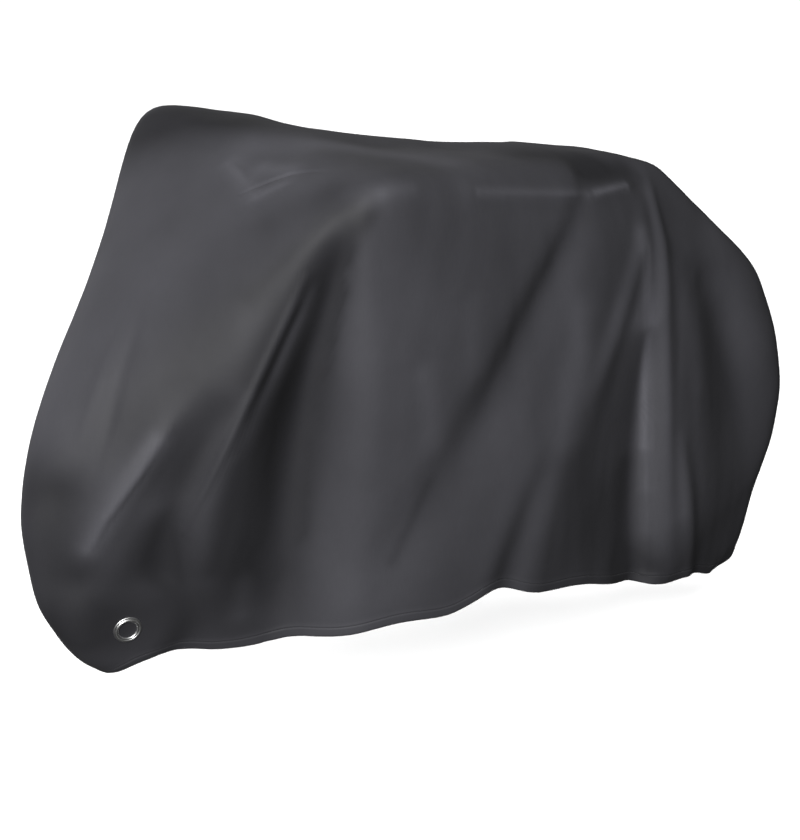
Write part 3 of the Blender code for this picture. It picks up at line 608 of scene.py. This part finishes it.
def cloth_sheet(name, surface, finish):
    """One layer of cloth: the outer face from the spine down to the hem, round the fold and up inside."""
    grid, n, up, places = surface
    ribs, rows, _ = grid.shape
    outer = grid + hem_profile(up)[..., None] * n
    along_up = grid[:, 1] - grid[:, 0]
    along_up /= np.linalg.norm(along_up, axis=1, keepdims=True)
    bottom = outer[:, 0]
    turned = [
        # below_edge, inward, up_inside
        bottom - 0.0009 * along_up - 0.0006 * n[:, 0],
        bottom - 0.0011 * along_up - 0.0013 * n[:, 0],
        bottom - 0.0006 * along_up - (HEM_PLY - 0.0002) * n[:, 0],
    ]
    for height, inward in ((0.0030, 0.0024), (0.0080, 0.0023), (0.0130, 0.0021), (0.0168, 0.0018), (HEM_STITCH, 0.0015), (0.0192, 0.0018), (HEM_TURN, 0.0017)):
        j = int(np.argmin(np.abs(up[0] - height)))
        turned.append(grid[:, j] + (height - up[0, j]) * along_up - inward * n[:, j])
    turned = np.stack(turned[::-1], 1)
    whole = np.concatenate([turned, outer], 1)
    heights = np.concatenate([np.tile(np.linspace(-0.022, -0.001, turned.shape[1]), (ribs, 1)), up], 1)
    total = whole.shape[1]
    snapped = whole.copy()
    cut = np.zeros((ribs, total), bool)
    for centre, normal in places.values():
        away = snapped - centre
        height = (away * normal).sum(2, keepdims=True)
        flat = away - height * normal
        radius = np.linalg.norm(flat, axis=2, keepdims=True)
        close = (np.abs(height[..., 0]) < 0.02) & (np.abs(radius[..., 0] - CUT_R) < 0.0042)
        moved = centre + height * normal + flat * (CUT_R / np.maximum(radius, 1e-9))
        snapped = np.where(close[..., None], moved, snapped)
        cut |= (np.abs(height[..., 0]) < 0.02) & (radius[..., 0] < CUT_R + 0.0001) | close
    around = np.concatenate([np.zeros((1, total)), np.cumsum(np.linalg.norm(np.diff(whole, axis=0), axis=2), axis=0)], 0)
    around = around - around[ribs // 4]
    points, index = [], -np.ones((ribs, total), int)
    for a in range(ribs):
        mate = -a % ribs
        for j in range(total):
            if j == total - 1 and mate < a:
                index[a, j] = index[mate, j]
                continue
            index[a, j] = len(points)
            points.append(snapped[a, j] - np.array(SADDLE))
    coords = np.zeros((len(points), 3))
    coords[index.reshape(-1)] = np.stack([around.reshape(-1), (heights[:, -1:] - heights).reshape(-1), heights.reshape(-1)], 1)
    faces = []
    for a in range(ribs):
        b = (a + 1) % ribs
        for j in range(total - 1):
            if cut[a, j] + cut[b, j] + cut[b, j + 1] + cut[a, j + 1] == 4:
                continue
            loop = [index[a, j], index[b, j], index[b, j + 1], index[a, j + 1]]
            loop = [v for k, v in enumerate(loop) if v not in loop[:k]]
            if len(loop) > 2:
                faces.append([int(v) for v in loop[::-1]])
    mesh = bpy.data.meshes.new(name)
    mesh.from_pydata([tuple(p) for p in points], [], faces)
    mesh.update()
    made = mesh.attributes.new("cloth", "FLOAT_VECTOR", "POINT")
    made.data.foreach_set("vector", coords.reshape(-1))
    # Painted shade in troughs, painted highlights on ridges and the painted patches of TONES, as a share of the cloth's
    # colour.
    over = standing_out(grid)
    painted_shading = np.where(over > 0, RIDGE_PAINTED_HIGHLIGHT, TROUGH_PAINTED_SHADE) * over + dent_offsets(grid, TONES)
    painted_shading = np.concatenate([np.tile(painted_shading[:, :1], (1, turned.shape[1])), painted_shading], 1)
    values = np.zeros(len(points))
    values[index.reshape(-1)] = np.clip(1 + painted_shading, 0.45, 2.3).reshape(-1)
    made = mesh.attributes.new("painted_shade_and_highlight", "FLOAT", "POINT")
    made.data.foreach_set("value", values)
    bm = bmesh.new()
    bm.from_mesh(mesh)
    bmesh.ops.delete(bm, geom=[v for v in bm.verts if not v.link_faces], context="VERTS")
    crease_mesh(bm)
    bm.to_mesh(mesh)
    bm.free()
    mesh.materials.append(finish)
    mesh.shade_smooth()
    sheet = bpy.data.objects.new(name, mesh)
    bpy.context.scene.collection.objects.link(sheet)
    return sheet


CUT_R = 0.0215  # the hole in the cloth round an eyelet's barrel


def mesh_object(name, points, faces, finish, smooth_angle=None):
    mesh = bpy.data.meshes.new(name)
    mesh.from_pydata([tuple(p) for p in points], [], faces)
    mesh.update()
    mesh.materials.append(finish)
    mesh.shade_smooth()
    if smooth_angle:
        mesh.set_sharp_from_angle(angle=math.radians(smooth_angle))
    made = bpy.data.objects.new(name, mesh)
    bpy.context.scene.collection.objects.link(made)
    return made


def hem_curve(surface, height):
    """The closed line at this height over the hem's edge on the outer face, with its normals."""
    grid, n, up, _ = surface
    outer = grid + hem_profile(up)[..., None] * n
    j = int(np.argmin(np.abs(up[0] - height)))
    return outer[:, j], n[:, j]


def stitching(name, surface, finish):
    """Lockstitches along the hem, each a short raised thread."""
    line, facing = hem_curve(surface, HEM_STITCH)
    line = np.vstack([line, line[:1]])
    facing = np.vstack([facing, facing[:1]])
    run = np.concatenate([[0], np.cumsum(np.linalg.norm(np.diff(line, axis=0), axis=1))])
    count = int(run[-1] / STITCH_PITCH)
    points, faces = [], []
    for k in range(count):
        wobble = 0.12 * noise.noise(Vector((k * 0.71, 4.2, 0.0)))
        s = (k + 0.5 + wobble) * run[-1] / count
        half = 0.5 * STITCH_LONG * (1 + 0.12 * noise.noise(Vector((k * 0.53, -2.0, 1.0))))
        at = np.linspace(s - half, s + half, 5)
        centre = np.stack([np.interp(at, run, line[:, a]) for a in range(3)], 1)
        out = np.stack([np.interp(at, run, facing[:, a]) for a in range(3)], 1)
        out /= np.linalg.norm(out, axis=1, keepdims=True)
        forward = centre[-1] - centre[0]
        forward /= np.linalg.norm(forward)
        lift = np.array((-0.10, 0.26, 0.36, 0.26, -0.10)) * 0.001
        radius = np.array((0.12, 0.30, 0.34, 0.30, 0.12)) * 0.001
        first = len(points)
        for c, o, h, r in zip(centre, out, lift, radius):
            side = np.cross(forward, o)
            for m in range(6):
                angle = 2 * math.pi * m / 6
                points.append(c + (h + r * math.sin(angle)) * o + r * math.cos(angle) * side - np.array(SADDLE))
        for j in range(4):
            for m in range(6):
                q = (m + 1) % 6
                a, b = first + 6 * j, first + 6 * (j + 1)
                faces.append((a + m, b + m, b + q, a + q))
        faces.append(tuple(first + m for m in range(6)))
        faces.append(tuple(first + 24 + m for m in reversed(range(6))))
    made = mesh_object(name, points, faces, finish)
    bm = bmesh.new()
    bm.from_mesh(made.data)
    bmesh.ops.recalc_face_normals(bm, faces=bm.faces)
    bm.to_mesh(made.data)
    bm.free()
    return made


STITCH_PITCH = 0.0036
STITCH_LONG = 0.0028

# An eyelet's section, as arcs: centre radius, centre height over the cloth, half width, half height, from, to degrees.
EYELET_SECTION = (
    # name, r, h, half_r, half_h, angle_from, angle_to
    ("washer_roll", 0.02520, 0.00040, 0.00225, 0.00175, -12, 152),
    ("barrel_roll", 0.02040, 0.00080, 0.00240, 0.00215, 32, 190),
    ("barrel_back", 0.01910, -0.00330, 0.00110, 0.00120, 180, 262),
    ("back_washer", 0.02410, -0.00330, 0.00320, 0.00095, 262, 372),
)


def eyelet(name, centre, normal, finish):
    """A two-piece rolled eyelet: the barrel's rolled lip lies inside the washer's, with a groove between them."""
    profile = []
    for _, r, h, half_r, half_h, a, b in EYELET_SECTION:
        for t in np.linspace(math.radians(a), math.radians(b), 13):
            profile.append((r + half_r * math.cos(t), h + half_h * math.sin(t)))
    profile += [(0.0264, -0.00235), (0.0211, -0.00235), (0.0211, -0.00005), (0.0264, -0.00005)]
    turns = 84
    points, faces = [], []
    for k in range(turns):
        a = 2 * math.pi * k / turns
        points += [Vector((r * math.cos(a), r * math.sin(a), h)) for r, h in profile]
    count = len(profile)
    for k in range(turns):
        m = (k + 1) % turns
        for j in range(count):
            q = (j + 1) % count
            faces.append((k * count + j, m * count + j, m * count + q, k * count + q))
    turn = Vector(normal).to_track_quat("Z", "Y").to_matrix()
    at = Vector(centre) - Vector(SADDLE)
    made = mesh_object(name, [at + turn @ p for p in points], faces, finish, smooth_angle=50)
    bm = bmesh.new()
    bm.from_mesh(made.data)
    bmesh.ops.recalc_face_normals(bm, faces=bm.faces)
    bm.to_mesh(made.data)
    bm.free()
    return made


# ---- Finishes ----------------------------------------------------------------------------------------------------


class Nodes:
    """Short names for adding and linking shader nodes."""

    def __init__(self, name):
        self.material = bpy.data.materials.new(name)
        self.material.use_nodes = True
        self.tree = self.material.node_tree
        self.shader = self.tree.nodes["Principled BSDF"]

    def add(self, kind, **values):
        node = self.tree.nodes.new(kind)
        for key, value in values.items():
            if key in node.inputs:
                node.inputs[key].default_value = value
            else:
                setattr(node, key, value)
        return node

    def link(self, out, into):
        self.tree.links.new(out, into)

    def maths(self, operation, first, second=0.5):
        node = self.add("ShaderNodeMath", operation=operation)
        for k, value in enumerate((first, second)):
            if hasattr(value, "links"):
                self.link(value, node.inputs[k])
            else:
                node.inputs[k].default_value = value
        return node.outputs[0]

    def ramp(self, source, stops):
        node = self.add("ShaderNodeValToRGB")
        ramp = node.color_ramp
        while len(ramp.elements) < len(stops):
            ramp.elements.new(0.5)
        for element, (place, colour) in zip(ramp.elements, stops):
            element.position = place
            element.color = (*colour, 1) if hasattr(colour, "__len__") else (colour, colour, colour, 1)
        self.link(source, node.inputs[0])
        return node.outputs[0]


def cloth_finish(name, dark, light, roughness):
    """Coated woven polyester: a fine plain weave under a satin coating, slightly uneven in tone and gloss. Its colour
    also carries the sheet's painted shade and painted highlights.
    """
    m = Nodes(name)
    own = m.add("ShaderNodeAttribute", attribute_name="cloth").outputs["Vector"]
    place = m.add("ShaderNodeTexCoord").outputs["Object"]
    patch = m.add("ShaderNodeTexNoise", Scale=5.0, Detail=4.0, Roughness=0.55)
    m.link(place, patch.inputs["Vector"])
    slub = m.add("ShaderNodeTexNoise", Scale=1.0, Detail=3.0, Roughness=0.6)
    stretch = m.add("ShaderNodeMapping")
    stretch.inputs["Scale"].default_value = (420.0, 36.0, 0.0)
    m.link(own, stretch.inputs["Vector"])
    m.link(stretch.outputs[0], slub.inputs["Vector"])
    tone = m.maths("ADD", m.maths("MULTIPLY", patch.outputs[0], 0.75), m.maths("MULTIPLY", slub.outputs[0], 0.25))
    # The sheet's painted shade and painted highlights scale the value of the cloth's colour.
    painted_shade_and_highlight = m.add("ShaderNodeAttribute", attribute_name="painted_shade_and_highlight").outputs["Fac"]
    painted_shading_node = m.add("ShaderNodeHueSaturation")
    m.link(m.ramp(tone, ((0.30, dark), (0.70, light))), painted_shading_node.inputs["Color"])
    m.link(painted_shade_and_highlight, painted_shading_node.inputs["Value"])
    m.link(painted_shading_node.outputs[0], m.shader.inputs["Base Color"])
    gloss = m.add("ShaderNodeTexNoise", Scale=11.0, Detail=3.0, Roughness=0.6)
    m.link(place, gloss.inputs["Vector"])
    rough = m.maths("ADD", roughness - 0.04, m.maths("MULTIPLY", gloss.outputs[0], 0.08))
    m.link(rough, m.shader.inputs["Roughness"])
    m.shader.inputs["Specular IOR Level"].default_value = 0.3
    m.shader.inputs["Sheen Weight"].default_value = 0.03
    m.shader.inputs["Sheen Roughness"].default_value = 0.5
    split = m.add("ShaderNodeSeparateXYZ")
    m.link(own, split.inputs[0])
    warp = m.maths("SINE", m.maths("MULTIPLY", split.outputs[0], 2 * math.pi / WEAVE_PITCH), 0)
    weft = m.maths("SINE", m.maths("MULTIPLY", split.outputs[1], 2 * math.pi / WEAVE_PITCH), 0)
    weave = m.maths("MULTIPLY", warp, weft)
    crumple = m.add("ShaderNodeTexNoise", Scale=38.0, Detail=3.0, Roughness=0.55)
    m.link(place, crumple.inputs["Vector"])
    fine = m.add("ShaderNodeBump", Strength=0.25, Distance=0.00006)
    m.link(weave, fine.inputs["Height"])
    soft = m.add("ShaderNodeBump", Strength=0.5, Distance=0.0006)
    m.link(crumple.outputs[0], soft.inputs["Height"])
    m.link(fine.outputs[0], soft.inputs["Normal"])
    m.link(soft.outputs[0], m.shader.inputs["Normal"])
    return m.material


WEAVE_PITCH = 0.0011


def thread_finish(name):
    m = Nodes(name)
    place = m.add("ShaderNodeTexCoord").outputs["Object"]
    twist = m.add("ShaderNodeTexNoise", Scale=900.0, Detail=2.0)
    m.link(place, twist.inputs["Vector"])
    m.link(m.ramp(twist.outputs[0], ((0.35, (0.040, 0.041, 0.044)), (0.70, (0.085, 0.086, 0.092)))), m.shader.inputs["Base Color"])
    m.shader.inputs["Roughness"].default_value = 0.55
    m.shader.inputs["Sheen Weight"].default_value = 0.2
    bump = m.add("ShaderNodeBump", Strength=0.4, Distance=0.0001)
    m.link(twist.outputs[0], bump.inputs["Height"])
    m.link(bump.outputs[0], m.shader.inputs["Normal"])
    return m.material


def metal_finish(name):
    """Bright plated steel, with faint smears and tiny handling marks."""
    m = Nodes(name)
    place = m.add("ShaderNodeTexCoord").outputs["Object"]
    smear = m.add("ShaderNodeTexNoise", Scale=70.0, Detail=4.0, Roughness=0.6)
    m.link(place, smear.inputs["Vector"])
    m.link(m.ramp(smear.outputs[0], ((0.3, (0.88, 0.88, 0.87)), (0.7, (0.97, 0.97, 0.96)))), m.shader.inputs["Base Color"])
    m.shader.inputs["Metallic"].default_value = 1.0
    m.link(m.maths("ADD", 0.30, m.maths("MULTIPLY", smear.outputs[0], 0.16)), m.shader.inputs["Roughness"])
    marks = m.add("ShaderNodeTexNoise", Scale=600.0, Detail=2.0)
    m.link(place, marks.inputs["Vector"])
    bump = m.add("ShaderNodeBump", Strength=0.15, Distance=0.0001)
    m.link(marks.outputs[0], bump.inputs["Height"])
    m.link(bump.outputs[0], m.shader.inputs["Normal"])
    return m.material


# ---- Studio --------------------------------------------------------------------------------------------------------

FLOOR_Z = -1.052  # the ground that the bicycle's tyres would stand on

LIGHTS = (
    # name, azimuth, elevation, distance, width, height, watts: azimuth 0 in front of the near side, 90 ahead of the bicycle
    ("key", 48.0, 22.0, 6.0, 2.4, 2.2, 350.0),
    ("top", 20.0, 55.0, 5.5, 2.6, 2.6, 36.0),
    ("back", 158.0, 8.0, 6.5, 2.4, 2.2, 240.0),
    ("far_shine", 188.0, 14.0, 6.5, 2.4, 2.2, 10.0),
)
LIT_POINT = (-0.28, 0.0, -0.45)


def studio():
    camera = bpy.data.cameras.new("camera")
    holder = bpy.data.objects.new("camera", camera)
    bpy.context.scene.collection.objects.link(holder)
    yaw, pitch = math.radians(32.66), math.radians(17.81)
    looks = Vector((math.sin(yaw) * math.cos(pitch), math.cos(yaw) * math.cos(pitch), -math.sin(pitch)))
    holder.location = Vector((-1.781, -3.523, 1.850)) - Vector(SADDLE)
    holder.rotation_euler = looks.to_track_quat("-Z", "Y").to_euler()
    camera.sensor_fit = "HORIZONTAL"
    camera.sensor_width = 36.0
    camera.lens = 99.0
    camera.clip_start, camera.clip_end = 0.1, 200.0
    bpy.context.scene.camera = holder

    floor_paint = Nodes("floor_paint")
    floor_paint.shader.inputs["Base Color"].default_value = (0.86, 0.86, 0.86, 1)
    floor_paint.shader.inputs["Roughness"].default_value = 0.9
    floor_paint.shader.inputs["Specular IOR Level"].default_value = 0.1
    reach = 60.0
    floor = mesh_object(
        "floor",
        [(-reach, -reach, FLOOR_Z), (reach, -reach, FLOOR_Z), (reach, reach, FLOOR_Z), (-reach, reach, FLOOR_Z)],
        [(0, 1, 2, 3)],
        floor_paint.material,
    )
    floor.visible_diffuse = False
    floor.visible_glossy = False

    for name, azimuth, elevation, distance, width, height, watts in LIGHTS:
        lamp = bpy.data.lights.new(name, "AREA")
        lamp.shape = "RECTANGLE"
        lamp.size, lamp.size_y, lamp.energy = width, height, watts
        made = bpy.data.objects.new(name, lamp)
        made.visible_glossy = name != "back"
        bpy.context.scene.collection.objects.link(made)
        a, e = math.radians(azimuth), math.radians(elevation)
        way = Vector((-math.sin(a) * math.cos(e), -math.cos(a) * math.cos(e), math.sin(e)))
        made.location = Vector(LIT_POINT) + way * distance
        made.rotation_euler = (-way).to_track_quat("-Z", "Y").to_euler()

    # An even overhead light for the floor alone.
    over = bpy.data.lights.new("floor_light", "SUN")
    over.energy = 1.1
    over.angle = math.radians(70)
    even = bpy.data.lights.new("floor_even_light", "SUN")
    even.energy = 2.6
    even.use_shadow = False
    above = bpy.data.objects.new("floor_light", over)
    bpy.context.scene.collection.objects.link(above)
    above.location = (0, 0, 5)
    spread = bpy.data.objects.new("floor_even_light", even)
    bpy.context.scene.collection.objects.link(spread)
    only = bpy.data.collections.new("lit_by_floor_light")
    only.objects.link(floor)
    above.light_linking.receiver_collection = only
    spread.light_linking.receiver_collection = only

    world = bpy.data.worlds.new("studio")
    bpy.context.scene.world = world
    world.use_nodes = True
    tree = world.node_tree
    tree.nodes.clear()
    ways = tree.nodes.new("ShaderNodeTexCoord")
    split = tree.nodes.new("ShaderNodeSeparateXYZ")
    tree.links.new(ways.outputs["Generated"], split.inputs[0])
    height = tree.nodes.new("ShaderNodeMapRange")
    height.inputs["From Min"].default_value, height.inputs["From Max"].default_value = -0.4, 0.9
    height.inputs["To Min"].default_value, height.inputs["To Max"].default_value = 0.02, 0.13
    tree.links.new(split.outputs[2], height.inputs["Value"])
    level = tree.nodes.new("ShaderNodeMapRange")
    level.inputs["From Min"].default_value, level.inputs["From Max"].default_value = -1.0, 1.0
    level.inputs["To Min"].default_value, level.inputs["To Max"].default_value = 1.4, 0.4
    tree.links.new(split.outputs[0], level.inputs["Value"])
    both = tree.nodes.new("ShaderNodeMath")
    both.operation = "MULTIPLY"
    tree.links.new(height.outputs[0], both.inputs[0])
    tree.links.new(level.outputs[0], both.inputs[1])
    dome = tree.nodes.new("ShaderNodeBackground")
    dome.inputs["Color"].default_value = (0.97, 0.98, 1.0, 1)
    tree.links.new(both.outputs[0], dome.inputs["Strength"])
    wall = tree.nodes.new("ShaderNodeBackground")
    wall.inputs["Color"].default_value = (0.93, 0.93, 0.93, 1)
    wall.inputs["Strength"].default_value = 1.0
    seen = tree.nodes.new("ShaderNodeLightPath")
    mix = tree.nodes.new("ShaderNodeMixShader")
    tree.links.new(seen.outputs["Is Camera Ray"], mix.inputs[0])
    tree.links.new(dome.outputs[0], mix.inputs[1])
    tree.links.new(wall.outputs[0], mix.inputs[2])
    out = tree.nodes.new("ShaderNodeOutputWorld")
    tree.links.new(mix.outputs[0], out.inputs[0])
    bpy.context.scene.view_settings.view_transform = "Standard"


# ---- The cover -----------------------------------------------------------------------------------------------------


def main():
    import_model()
    charcoal = cloth_finish("charcoal_cloth_fine", (0.058, 0.0575, 0.065), (0.073, 0.0725, 0.082), 0.60)
    thread = thread_finish("charcoal_thread")
    plated = metal_finish("plated_eyelet")
    surface = fine_surface()
    cover = cloth_sheet("cover_sheet", surface, charcoal)
    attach(cover, "root")
    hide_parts("cover_cloth", "eyelet_strip_near", "eyelet_strip_far")
    seam = stitching("hem_stitching", surface, thread)
    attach(seam, "root")
    for side, (centre, normal) in surface[3].items():
        ring = eyelet(f"eyelet_{side}", centre, normal, plated)
        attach(ring, "root")
        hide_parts(f"eyelet_ring_{side}")
    studio()


main()
